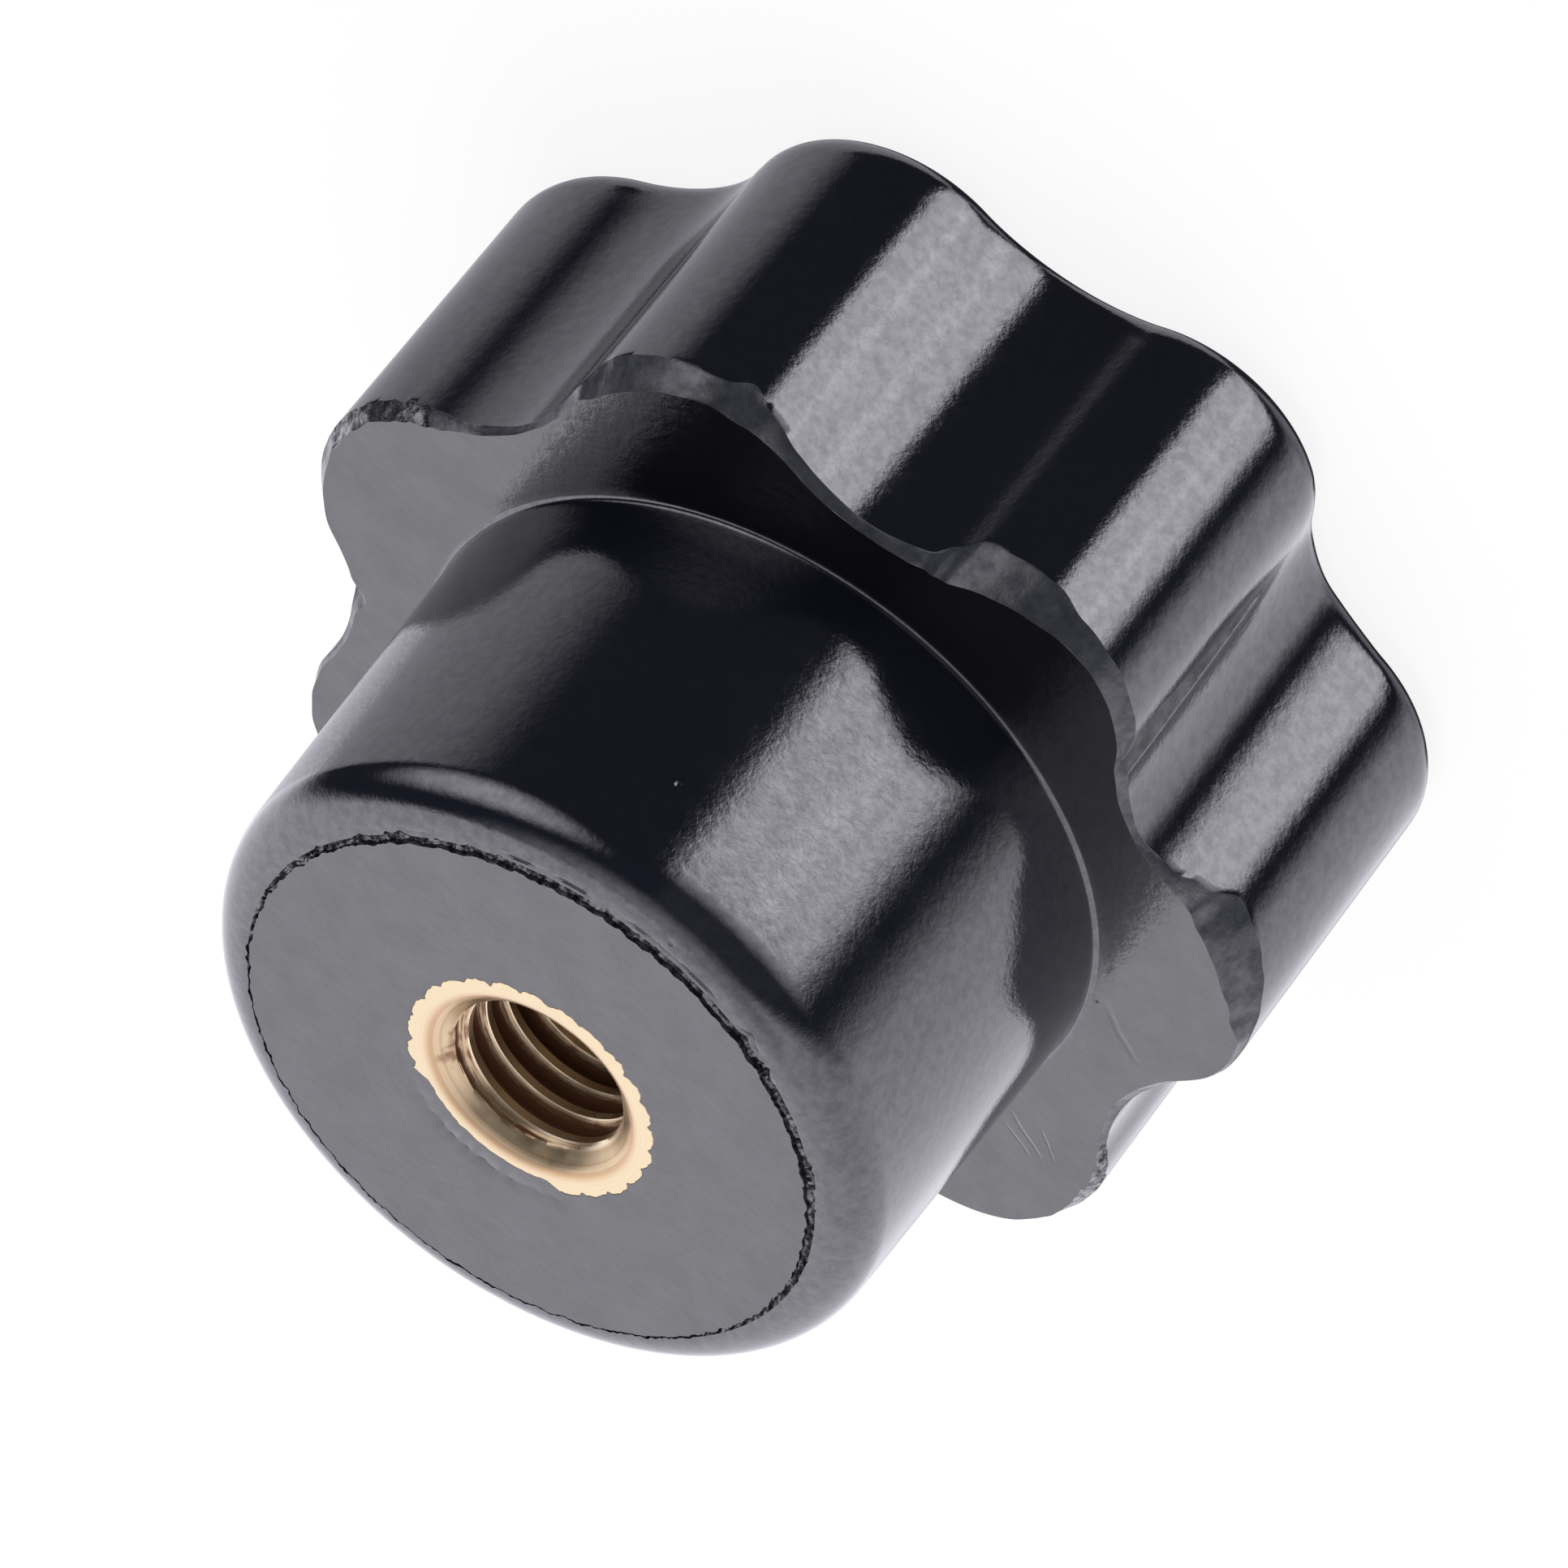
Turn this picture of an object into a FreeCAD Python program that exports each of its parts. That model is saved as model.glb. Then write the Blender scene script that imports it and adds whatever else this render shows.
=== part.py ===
import FreeCAD, Part
import math
import os
import Sketcher

# Star knob. Lengths are in millimetres and angles in degrees.
# The origin is the centre of the hub's seating face, on the thread's axis. +Z leaves the
# thread's mouth, so the hub and the lobed head lie below the origin. One lobe lies on +X.

SIZES = {
    # lobed head
    "lobe_count": 7,
    "head_diameter": 25,
    "lobe_radius": 3.8,
    "valley_radius": 6.6,
    "head_height": 9.25,
    "head_draft": 0.8,
    "head_edge_radius": 1.25,
    "underside_bevel": 0.2,
    "lobe_bevel_width": 0.45,
    "lobe_bevel_height": 0.75,
    # round hub, its diameter measured at the seating face before the edge is rounded
    "hub_length": 9.9,
    "hub_diameter": 16.85,
    "hub_draft": 1.0,
    "hub_edge_radius": 1.2,
    "hub_root_radius": 0.2,
    # M5 thread, drawn as its tapping bore with a countersunk mouth
    "bore_diameter": 4.134,
    "bore_depth": 8.2,
    "drill_point_angle": 118,
    "mouth_chamfer": 0.53,
    "mouth_angle": 90,
    # brass bush around the bore
    "bush_wall": 1.133,
    "bush_end_wall": 0.55,
    "knurl_count": 25,
    "knurl_depth": 0.22,
    "knurl_angle": 90,
    "anchor_depth": 0.45,
    "anchor_width": 1.6,
    "anchor_offset": 5.2,
    # segment of the bush's face that the moulding covers
    "lip_reach": 1.1,
    "lip_thickness": 0.3,
}

# Sizes that follow from the driving ones.
BORE_RADIUS = "sizes.bore_diameter / 2"
MOUTH_RADIUS = f"({BORE_RADIUS} + sizes.mouth_chamfer)"
MOUTH_DEPTH = "sizes.mouth_chamfer / tan(sizes.mouth_angle / 2)"
MOUTH_CONE_DEPTH = f"{MOUTH_RADIUS} / tan(sizes.mouth_angle / 2)"
DRILL_TIP_DEPTH = f"(sizes.bore_depth + {BORE_RADIUS} / tan(sizes.drill_point_angle / 2))"
BUSH_RADIUS = f"({BORE_RADIUS} + sizes.bush_wall)"
BUSH_LENGTH = f"({DRILL_TIP_DEPTH} + sizes.bush_end_wall)"
ANCHOR_END = "(sizes.anchor_offset + sizes.anchor_width)"
HEAD_RADIUS = "sizes.head_diameter / 2"

# How far a shape runs on past the surface that it has to cross.
CROSSING = 0.15

# How near an edge lies to the height and the radius that it is looked up by.
HEIGHT_MATCH = 1e-5
RADIUS_MATCH = 1e-3


def make_sheet(doc):
    """Driving dimensions, one named cell each."""
    sheet = doc.addObject("Spreadsheet::Sheet", "sizes")
    for row, (name, value) in enumerate(SIZES.items(), start=1):
        sheet.set(f"A{row}", name)
        sheet.set(f"B{row}", str(value))
        sheet.setAlias(f"B{row}", name)
    doc.recompute()


def value_of(owner, expression):
    """Present value of an expression on the sheet, as a plain number."""
    value = owner.evalExpression(expression)
    return float(getattr(value, "Value", value))


def new_body(doc, name):
    body = doc.addObject("PartDesign::Body", name)
    body.Label = name
    return body


def new_sketch(body, name, role, height=None):
    """Sketch on one of the body's own origin planes, shifted along its normal if asked."""
    sketch = body.newObject("Sketcher::SketchObject", name)
    plane = next(f for f in body.Origin.OriginFeatures if f.Role == role)
    sketch.AttachmentSupport = [(plane, "")]
    sketch.MapMode = "FlatFace"
    if height:
        sketch.setExpression("AttachmentOffset.Base.z", height)
    return sketch


def bind(sketch, kind, name, expression, *where):
    """Dimension between the given points, bound to the sheet."""
    start = value_of(sketch, expression)
    if kind == "Angle":
        start = math.radians(start)
    index = sketch.addConstraint(Sketcher.Constraint(kind, *where, start))
    sketch.renameConstraint(index, name)
    sketch.setExpression(f"Constraints.{name}", expression)


def relate(sketch, kind, *where):
    sketch.addConstraint(Sketcher.Constraint(kind, *where))


def draw_circle(sketch, name, diameter):
    """Circle about the axis."""
    radius = value_of(sketch, diameter) / 2
    circle = Part.Circle(FreeCAD.Vector(0, 0, 0), FreeCAD.Vector(0, 0, 1), radius)
    index = sketch.addGeometry(circle, False)
    relate(sketch, "Coincident", index, 3, -1, 1)
    bind(sketch, "Diameter", name, diameter, index)


def draw_outline(sketch, corners):
    """Closed outline of straight lines through named corners.

    Each corner is (name, across, along): expressions for its distances from the sketch's
    vertical and horizontal axis, where None lies on the axis and a leading minus is the
    negative side.
    """
    points = []
    for name, across, along in corners:
        x = value_of(sketch, across) if across else 0
        y = value_of(sketch, along) if along else 0
        points.append(FreeCAD.Vector(x, y, 0))
    count = len(points)
    lines = [
        sketch.addGeometry(Part.LineSegment(points[i], points[(i + 1) % count]), False)
        for i in range(count)
    ]
    for i, line in enumerate(lines):
        relate(sketch, "Coincident", line, 2, lines[(i + 1) % count], 1)
    for line, (name, across, along) in zip(lines, corners):
        place_point(sketch, line, f"{name}_across", "DistanceX", across, -2)
        place_point(sketch, line, f"{name}_along", "DistanceY", along, -1)


def place_point(sketch, line, name, kind, distance, axis):
    """Hold the line's start on an axis of the sketch, or at a distance from the origin."""
    if not distance:
        relate(sketch, "PointOnObject", line, 1, axis)
    elif distance.startswith("-"):
        bind(sketch, kind, name, distance[1:], line, 1, -1, 1)
    else:
        bind(sketch, kind, name, distance, -1, 1, line, 1)


def extrude(body, kind, sketch, length, taper=None):
    """Pad or pocket from the sketch's plane towards -Z."""
    feature = body.newObject(f"PartDesign::{kind}", f"{sketch.Name}_{kind.lower()}")
    feature.Profile = sketch
    feature.Reversed = kind == "Pad"
    feature.setExpression("Length", length)
    if taper:
        feature.setExpression("TaperAngle", taper)
    return feature


def turn(body, kind, sketch):
    """Revolution or groove of a profile about the knob's axis."""
    feature = body.newObject(f"PartDesign::{kind}", f"{sketch.Name}_{kind.lower()}")
    feature.Profile = sketch
    feature.ReferenceAxis = (sketch, ["V_Axis"])
    feature.Angle = 360
    return feature


def repeat_round(body, feature, count):
    """Copies of a feature, evenly spaced round the knob's axis."""
    pattern = body.newObject("PartDesign::PolarPattern", f"{feature.Name}_round")
    pattern.Originals = [feature]
    pattern.Axis = (feature.Profile[0], ["N_Axis"])
    pattern.Angle = 360
    pattern.setExpression("Occurrences", count)
    body.Tip = pattern


def edges_at(shape, height, radius=None):
    """Names of the edges that lie flat at a height, all round or only at one radius."""
    names = []
    for number, edge in enumerate(shape.Edges, start=1):
        box = edge.BoundBox
        level = max(abs(box.ZMin - height), abs(box.ZMax - height)) < HEIGHT_MATCH
        if level and (radius is None or abs(box.XMax - radius) < RADIUS_MATCH):
            names.append(f"Edge{number}")
    return names


def treat_edges(body, kind, base, names, size_name, size):
    """Fillet or chamfer on the named edges of a feature."""
    feature = body.newObject(f"PartDesign::{kind}", f"{base.Name}_{kind.lower()}")
    feature.Base = (base, names)
    feature.setExpression(size_name, size)
    return feature


def draw_head_outline(sketch):
    """Lobe arcs on equal spokes, joined by tangent valley arcs."""
    count = int(value_of(sketch, "sizes.lobe_count"))
    lobe_radius = value_of(sketch, "sizes.lobe_radius")
    valley_radius = value_of(sketch, "sizes.valley_radius")
    reach = value_of(sketch, f"{HEAD_RADIUS} - sizes.lobe_radius")
    half_step = math.pi / count
    middle = reach * math.cos(half_step)
    side = reach * math.sin(half_step)
    valley_reach = middle + math.sqrt((lobe_radius + valley_radius) ** 2 - side**2)
    join = math.atan2(
        valley_reach * math.sin(half_step), valley_reach * math.cos(half_step) - reach
    )
    up = FreeCAD.Vector(0, 0, 1)
    spokes = []
    lobes = []
    valleys = []
    for k in range(count):
        angle = 2 * half_step * k
        centre = FreeCAD.Vector(reach * math.cos(angle), reach * math.sin(angle), 0)
        lobe = Part.ArcOfCircle(Part.Circle(centre, up, lobe_radius), angle - join, angle + join)
        between = angle + half_step
        far = FreeCAD.Vector(
            valley_reach * math.cos(between), valley_reach * math.sin(between), 0
        )
        opening = join - half_step
        valley = Part.ArcOfCircle(
            Part.Circle(far, up, valley_radius),
            between + math.pi - opening,
            between + math.pi + opening,
        )
        spokes.append(sketch.addGeometry(Part.LineSegment(FreeCAD.Vector(), centre), True))
        lobes.append(sketch.addGeometry(lobe, False))
        valleys.append(sketch.addGeometry(valley, False))

    for k in range(count):
        following = (k + 1) % count
        relate(sketch, "Coincident", spokes[k], 1, -1, 1)
        relate(sketch, "Coincident", spokes[k], 2, lobes[k], 3)
        relate(sketch, "Tangent", lobes[k], 2, valleys[k], 2)
        relate(sketch, "Tangent", valleys[k], 1, lobes[following], 1)
        if k == 0:
            continue
        relate(sketch, "Equal", spokes[0], spokes[k])
        relate(sketch, "Equal", lobes[0], lobes[k])
        relate(sketch, "Equal", valleys[0], valleys[k])
        step = "360 deg / sizes.lobe_count"
        bind(sketch, "Angle", f"step_{k}", step, spokes[k - 1], 1, spokes[k], 1)
    relate(sketch, "PointOnObject", spokes[0], 2, -1)
    spoke_length = f"{HEAD_RADIUS} - sizes.lobe_radius"
    bind(sketch, "DistanceX", "spoke", spoke_length, -1, 1, spokes[0], 2)
    bind(sketch, "Radius", "lobe", "sizes.lobe_radius", lobes[0])
    bind(sketch, "Radius", "valley", "sizes.valley_radius", valleys[0])


def add_head(doc, body):
    """Lobed head below the hub, with draft, a rounded top and a bevelled underside."""
    outline = new_sketch(body, "head_outline", "XY_Plane", "-sizes.hub_length")
    draw_head_outline(outline)
    head = extrude(body, "Pad", outline, "sizes.head_height", "-sizes.head_draft")
    doc.recompute()

    underside = -value_of(outline, "sizes.hub_length")
    top = underside - value_of(outline, "sizes.head_height")
    rounded = treat_edges(
        body, "Fillet", head, edges_at(head.Shape, top), "Radius", "sizes.head_edge_radius"
    )
    doc.recompute()
    treat_edges(
        body, "Chamfer", rounded, edges_at(rounded.Shape, underside), "Size",
        "sizes.underside_bevel",
    )
    doc.recompute()

    # the lobes' lower corners are turned off by a cone that leaves the valleys alone
    profile = new_sketch(body, "lobe_bevel", "XZ_Plane")
    inner = f"{HEAD_RADIUS} - sizes.lobe_bevel_width"
    outer = f"{HEAD_RADIUS} + sizes.lobe_bevel_width"
    draw_outline(profile, [
        ("start", inner, "-sizes.hub_length"),
        ("end", outer, "-(sizes.hub_length + 2 * sizes.lobe_bevel_height)"),
        ("corner", outer, "-sizes.hub_length"),
    ])
    turn(body, "Groove", profile)
    doc.recompute()


def add_hub(doc, body):
    """Round hub that widens towards the head, rounded at its end and at its root."""
    circle = new_sketch(body, "hub_circle", "XY_Plane")
    draw_circle(circle, "hub", "sizes.hub_diameter")
    hub = extrude(body, "Pad", circle, "sizes.hub_length", "sizes.hub_draft")
    doc.recompute()

    end_radius = value_of(circle, "sizes.hub_diameter / 2")
    rounded = treat_edges(
        body, "Fillet", hub, edges_at(hub.Shape, 0, end_radius), "Radius",
        "sizes.hub_edge_radius",
    )
    doc.recompute()
    root_radius = value_of(
        circle, "sizes.hub_diameter / 2 + sizes.hub_length * tan(sizes.hub_draft)"
    )
    root_edge = edges_at(rounded.Shape, -value_of(circle, "sizes.hub_length"), root_radius)
    treat_edges(body, "Fillet", rounded, root_edge, "Radius", "sizes.hub_root_radius")
    doc.recompute()


def draw_knurl_notch(sketch):
    """V between two teeth of the straight knurl, its point towards the axis."""
    point = f"({BUSH_RADIUS} - sizes.knurl_depth)"
    mouth = f"({BUSH_RADIUS} + {CROSSING})"
    half_width = f"((sizes.knurl_depth + {CROSSING}) * tan(sizes.knurl_angle / 2))"
    draw_outline(sketch, [
        ("point", point, None),
        ("right", mouth, f"-{half_width}"),
        ("left", mouth, half_width),
    ])


def draw_anchor_ring(sketch):
    """Section of the groove that keeps the bush from being pulled out."""
    inner = f"({BUSH_RADIUS} - sizes.anchor_depth)"
    outer = f"({BUSH_RADIUS} + {CROSSING})"
    draw_outline(sketch, [
        ("inner_upper", inner, "-sizes.anchor_offset"),
        ("inner_lower", inner, f"-{ANCHOR_END}"),
        ("outer_lower", outer, f"-{ANCHOR_END}"),
        ("outer_upper", outer, "-sizes.anchor_offset"),
    ])


def draw_lip(sketch):
    """Part of the bush's face, beyond a chord on the +Y side, that the moulding covers."""
    chord = f"({BUSH_RADIUS} - sizes.lip_reach)"
    reach = f"({BUSH_RADIUS} + {CROSSING})"
    draw_outline(sketch, [
        ("near_left", f"-{reach}", chord),
        ("near_right", reach, chord),
        ("far_right", reach, reach),
        ("far_left", f"-{reach}", reach),
    ])


def add_bush_seat(doc, body):
    """Cavity that the moulding forms round the bush, and its lip over the bush's face."""
    circle = new_sketch(body, "seat_circle", "XY_Plane")
    draw_circle(circle, "seat", f"2 * {BUSH_RADIUS}")
    extrude(body, "Pocket", circle, BUSH_LENGTH)
    doc.recompute()

    tooth = new_sketch(body, "seat_tooth", "XY_Plane")
    draw_knurl_notch(tooth)
    first = extrude(body, "Pad", tooth, BUSH_LENGTH)
    doc.recompute()
    repeat_round(body, first, "sizes.knurl_count")
    doc.recompute()

    ring = new_sketch(body, "seat_ring", "XZ_Plane")
    draw_anchor_ring(ring)
    turn(body, "Revolution", ring)
    doc.recompute()

    lip = new_sketch(body, "lip", "XY_Plane")
    draw_lip(lip)
    extrude(body, "Pad", lip, "sizes.lip_thickness")
    doc.recompute()

    # the mouth was countersunk after moulding, so its cone trims the lip too
    cone = new_sketch(body, "lip_trim", "XZ_Plane")
    draw_outline(cone, [
        ("centre", None, None),
        ("tip", None, f"-{MOUTH_CONE_DEPTH}"),
        ("rim", MOUTH_RADIUS, None),
    ])
    turn(body, "Groove", cone)
    doc.recompute()


def make_knob_body(doc):
    """Head and hub in one black moulding."""
    body = new_body(doc, "knob_body")
    add_head(doc, body)
    add_hub(doc, body)
    add_bush_seat(doc, body)
    return body


def make_threaded_insert(doc):
    """Straight-knurled brass bush with a blind bore."""
    body = new_body(doc, "threaded_insert")
    circle = new_sketch(body, "bush_circle", "XY_Plane")
    draw_circle(circle, "bush", f"2 * {BUSH_RADIUS}")
    extrude(body, "Pad", circle, BUSH_LENGTH)
    doc.recompute()

    notch = new_sketch(body, "knurl_notch", "XY_Plane")
    draw_knurl_notch(notch)
    first = extrude(body, "Pocket", notch, BUSH_LENGTH)
    doc.recompute()
    repeat_round(body, first, "sizes.knurl_count")
    doc.recompute()

    ring = new_sketch(body, "anchor_ring", "XZ_Plane")
    draw_anchor_ring(ring)
    turn(body, "Groove", ring)
    doc.recompute()

    lip = new_sketch(body, "lip_step", "XY_Plane")
    draw_lip(lip)
    extrude(body, "Pocket", lip, "sizes.lip_thickness")
    doc.recompute()

    bore = new_sketch(body, "bore", "XZ_Plane")
    draw_outline(bore, [
        ("centre", None, None),
        ("tip", None, f"-{DRILL_TIP_DEPTH}"),
        ("floor", BORE_RADIUS, "-sizes.bore_depth"),
        ("throat", BORE_RADIUS, f"-({MOUTH_DEPTH})"),
        ("rim", MOUTH_RADIUS, None),
    ])
    turn(body, "Groove", bore)
    doc.recompute()
    return body


def check_document(doc, bodies):
    """Stop before anything is written if a feature failed or a solid is not sound."""
    for item in doc.Objects:
        if "Invalid" in item.State or "Error" in item.State:
            raise RuntimeError(f"{item.Name} did not build: {item.State}")
    for sketch in doc.findObjects("Sketcher::SketchObject"):
        if not sketch.FullyConstrained:
            raise RuntimeError(f"{sketch.Name} is not fully constrained")
    for body in bodies:
        shape = body.Shape
        if shape.isNull() or not shape.isValid() or len(shape.Solids) != 1:
            raise RuntimeError(f"{body.Label} is not one sound solid")


def write_steps(bodies):
    os.makedirs("parts", exist_ok=True)
    for body in bodies:
        body.Shape.exportStep(f"parts/{body.Label}.step")
        print(f"{body.Label}: {body.Shape.Volume:.2f} mm3")


doc = FreeCAD.newDocument("star_knob")
make_sheet(doc)
bodies = [make_knob_body(doc), make_threaded_insert(doc)]
doc.recompute()
check_document(doc, bodies)
write_steps(bodies)
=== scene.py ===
import math

import bmesh
import bpy
import numpy as np
from mathutils import Euler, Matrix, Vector


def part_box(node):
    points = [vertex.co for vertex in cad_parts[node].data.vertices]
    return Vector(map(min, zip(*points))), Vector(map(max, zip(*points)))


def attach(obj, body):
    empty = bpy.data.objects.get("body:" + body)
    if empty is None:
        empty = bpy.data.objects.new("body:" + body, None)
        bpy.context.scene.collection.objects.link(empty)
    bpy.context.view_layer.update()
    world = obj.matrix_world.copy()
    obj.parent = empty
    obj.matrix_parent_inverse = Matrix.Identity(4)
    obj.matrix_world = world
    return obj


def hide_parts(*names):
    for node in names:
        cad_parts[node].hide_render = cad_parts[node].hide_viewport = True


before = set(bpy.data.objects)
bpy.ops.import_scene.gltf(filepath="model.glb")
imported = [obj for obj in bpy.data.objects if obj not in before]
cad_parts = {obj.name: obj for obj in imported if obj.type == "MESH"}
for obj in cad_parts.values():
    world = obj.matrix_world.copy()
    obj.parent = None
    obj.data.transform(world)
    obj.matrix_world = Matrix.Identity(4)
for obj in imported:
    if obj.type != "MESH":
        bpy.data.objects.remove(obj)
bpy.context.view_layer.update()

# Star knob standing on its head. The part's sizes below are in millimetres and degrees: the
# thread's axis is z, the hub's end face is at z = 0, and angles count from +X, where one lobe is.
MM = 0.001
KNOB_HEIGHT = -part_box("knob_body")[0].z / MM
BUSH_LENGTH = -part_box("threaded_insert")[0].z / MM

# lobed head
LOBES = 7
HEAD_RADIUS = 12.495
LOBE_RADIUS = 3.65
VALLEY_RADIUS = 4.4
HEAD_DRAFT = 0.8
HEAD_EDGE = 1.25
VALLEY_EDGE = 0.85

# round hub
HUB_LENGTH = 9.9
HUB_RADIUS = 8.425
HUB_DRAFT = 1.0
HUB_EDGE = 1.2
HUB_ROOT = 0.13
END_FACE_RADIUS = 7.10

# brass bush and its M5 thread
BUSH_RADIUS = 3.2
KNURLS = 25
KNURL_DEPTH = 0.13
KNURL_CROWN = 0.08
LIP_CHORD = 2.3
LIP_DEPTH = 0.3
PITCH = 0.8
THREAD_MINOR = 2.067
THREAD_MAJOR = 2.5
MOUTH_RADIUS = 2.597
MOUTH_EASING = 0.22
BORE_DEPTH = 8.2
THREAD_END = 7.4
THREAD_RUNOUT = 0.5
THREAD_ENTRY = (-0.15, -1.0)
ROWS_A_TURN = 16
DRILL_ANGLE = 118

# Corner between the head's walls and its underside, filed off by hand:
# (angle, width taken off the underside, height taken off the wall)
FILED_EDGE = [
    (-158, 0.13, 0.35), (-154, 0.45, 0.62), (-150, 0.60, 0.85), (-146, 0.56, 1.10),
    (-142, 0.40, 1.25), (-138.5, 0.12, 0.70), (-135, 0.10, 0.35), (-128.6, 0.12, 0.15),
    (-121, 0.20, 0.22), (-117, 0.36, 0.26), (-113, 0.40, 0.34), (-106, 0.32, 0.50), (-101, 0.38, 0.60),
    (-97, 0.50, 0.88), (-92, 0.58, 0.98), (-88.5, 0.62, 1.06), (-86.5, 0.48, 0.70),
    (-84.5, 0.30, 0.30), (-77, 0.18, 0.20), (-66, 0.18, 0.32), (-62, 0.20, 0.60),
    (-59, 0.26, 1.00), (-56.5, 0.22, 0.68), (-51, 0.34, 0.70), (-45, 0.44, 0.80),
    (-41, 0.42, 0.84), (-37.5, 0.22, 0.35), (-30, 0.12, 0.16), (-19, 0.14, 0.20),
    (-13, 0.30, 0.42), (-7, 0.24, 0.46), (0, 0.30, 0.46), (7, 0.28, 0.34), (14, 0.16, 0.22),
    (20, 0.20, 0.22), (23, 0.50, 0.42), (27, 0.20, 0.20), (36, 0.13, 0.16), (44, 0.15, 0.40),
    (51, 0.22, 0.55), (58, 0.26, 0.50), (66, 0.15, 0.20), (77, 0.15, 0.15), (96, 0.28, 0.50),
    (103, 0.24, 0.70), (110, 0.30, 0.55), (118, 0.15, 0.20), (128.6, 0.14, 0.15),
    (142, 0.16, 0.26), (151, 0.14, 0.36), (157, 0.20, 0.45), (162, 0.30, 0.50), (167, 0.20, 0.35),
    (172, 0.12, 0.18), (180, 0.20, 0.20), (190, 0.20, 0.20), (197, 0.08, 0.14),
]

# finishes, by their place in the body's list of materials
GLOSS, GROUND, FILED, BROKEN = range(4)

# One valley was cut too deep and off its centre: the angles where the extra cut begins, is full,
# starts to fade and ends.
DEEP_VALLEY = (-139.5, -128.0, -120.5, -112.0)
EXTRA_DEPTH = 0.2

# Gouge down the side of that valley: its blunt end by the underside and its point.
GOUGE_TOP = -10.0
GOUGE_TIP = -15.9
GOUGE_UPPER = (-114.9, -118.5)
GOUGE_LOWER = (-119.8, -118.9)
GOUGE_FACING = -127.0

# Grid round the axis: a whole number of steps for each knurl, and finer ones at the gouge.
EVEN_ANGLES = np.arange(LOBES * KNURLS * 4) * 360 / (LOBES * KNURLS * 4)
FINE_ANGLES = 360 + np.arange(-122.0, -112.0, 0.17)
ANGLES = np.radians(np.sort(np.append(
    EVEN_ANGLES[(EVEN_ANGLES < FINE_ANGLES[0] - 0.1) | (EVEN_ANGLES > FINE_ANGLES[-1] + 0.1)],
    FINE_ANGLES,
)))
BUSH_ANGLES = np.radians(90 + np.arange(KNURLS * 14) * 360 / (KNURLS * 14))

LOBE_REACH = HEAD_RADIUS - LOBE_RADIUS
HALF_STEP = math.pi / LOBES
VALLEY_REACH = LOBE_REACH * math.cos(HALF_STEP) + math.sqrt(
    (LOBE_RADIUS + VALLEY_RADIUS) ** 2 - (LOBE_REACH * math.sin(HALF_STEP)) ** 2
)
JOIN = math.atan2(
    VALLEY_REACH * math.sin(HALF_STEP), VALLEY_REACH * math.cos(HALF_STEP) - LOBE_REACH
)


def smooth_step(low, high, value):
    part = np.clip((value - low) / (high - low), 0, 1)
    return part * part * (3 - 2 * part)


def ripple(angles, seed, lowest, highest):
    """Random ripple round the axis, about -1 to 1, of so many waves a turn."""
    random = np.random.default_rng(seed)
    total = np.zeros_like(angles)
    waves = np.unique(random.integers(lowest, highest + 1, 28))
    for wave in waves:
        total += random.uniform(0.5, 1) * np.cos(wave * angles + random.uniform(0, 2 * math.pi))
    return total / math.sqrt(0.6 * len(waves)) / 1.4


def near_angle(angles, centre, half_width):
    """1 at an angle in degrees, falling to 0 at half a width to either side."""
    away = np.abs((np.degrees(angles) - centre + 180) % 360 - 180)
    return 1 - smooth_step(0, half_width, away)


def head_outline(angles, inset):
    """Distance from the axis to the lobed outline, set in by an inset."""
    away = np.abs((angles + HALF_STEP) % (2 * HALF_STEP) - HALF_STEP)
    lobe = LOBE_RADIUS - inset
    valley = VALLEY_RADIUS + inset
    change = np.arctan2(lobe * math.sin(JOIN), LOBE_REACH + lobe * math.cos(JOIN))
    on_lobe = LOBE_REACH * np.cos(away) + np.sqrt(
        np.maximum(lobe**2 - (LOBE_REACH * np.sin(away)) ** 2, 0)
    )
    beyond = HALF_STEP - away
    on_valley = VALLEY_REACH * np.cos(beyond) - np.sqrt(
        valley**2 - (VALLEY_REACH * np.sin(beyond)) ** 2
    )
    degrees = np.degrees(angles) - 360 * (angles > math.pi)
    begin, full, fade, end = DEEP_VALLEY
    extra = smooth_step(begin, full, degrees) * (1 - smooth_step(fade, end, degrees))
    return np.where(away < change, on_lobe, on_valley) - EXTRA_DEPTH * extra


def knurl_outline(angles):
    """Distance from the axis to the bush's knurled edge: rounded teeth between V notches."""
    tooth = 2 * math.pi / KNURLS
    away = np.abs((angles + tooth / 2) % tooth - tooth / 2) * BUSH_RADIUS
    across = away / (tooth * BUSH_RADIUS / 2)
    notch = np.maximum(KNURL_DEPTH - away, 0)
    crown = KNURL_CROWN * (1 - across) ** 2
    uneven = 0.03 * (1 + ripple(angles, 5, 6, 40)) + 0.022 * ripple(angles, 6, 50, 95)
    return BUSH_RADIUS - 0.02 - np.maximum(notch, crown) - np.maximum(uneven, 0)


def lip_edge(angles, depth):
    """Distance from the axis to the moulding's lip over the bush, where there is one."""
    rise = np.sin(angles)
    chord = np.where(rise > 0.3, LIP_CHORD / np.maximum(rise, 0.3), BUSH_RADIUS * 2)
    uneven = 0.02 * ripple(angles, 8, 9, 80)
    return np.maximum(chord, MOUTH_RADIUS + MOUTH_EASING + 0.05) + uneven - 0.1 * depth


def lip_covers(angles):
    return lip_edge(angles, LIP_DEPTH) < knurl_outline(angles) - 0.02


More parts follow.
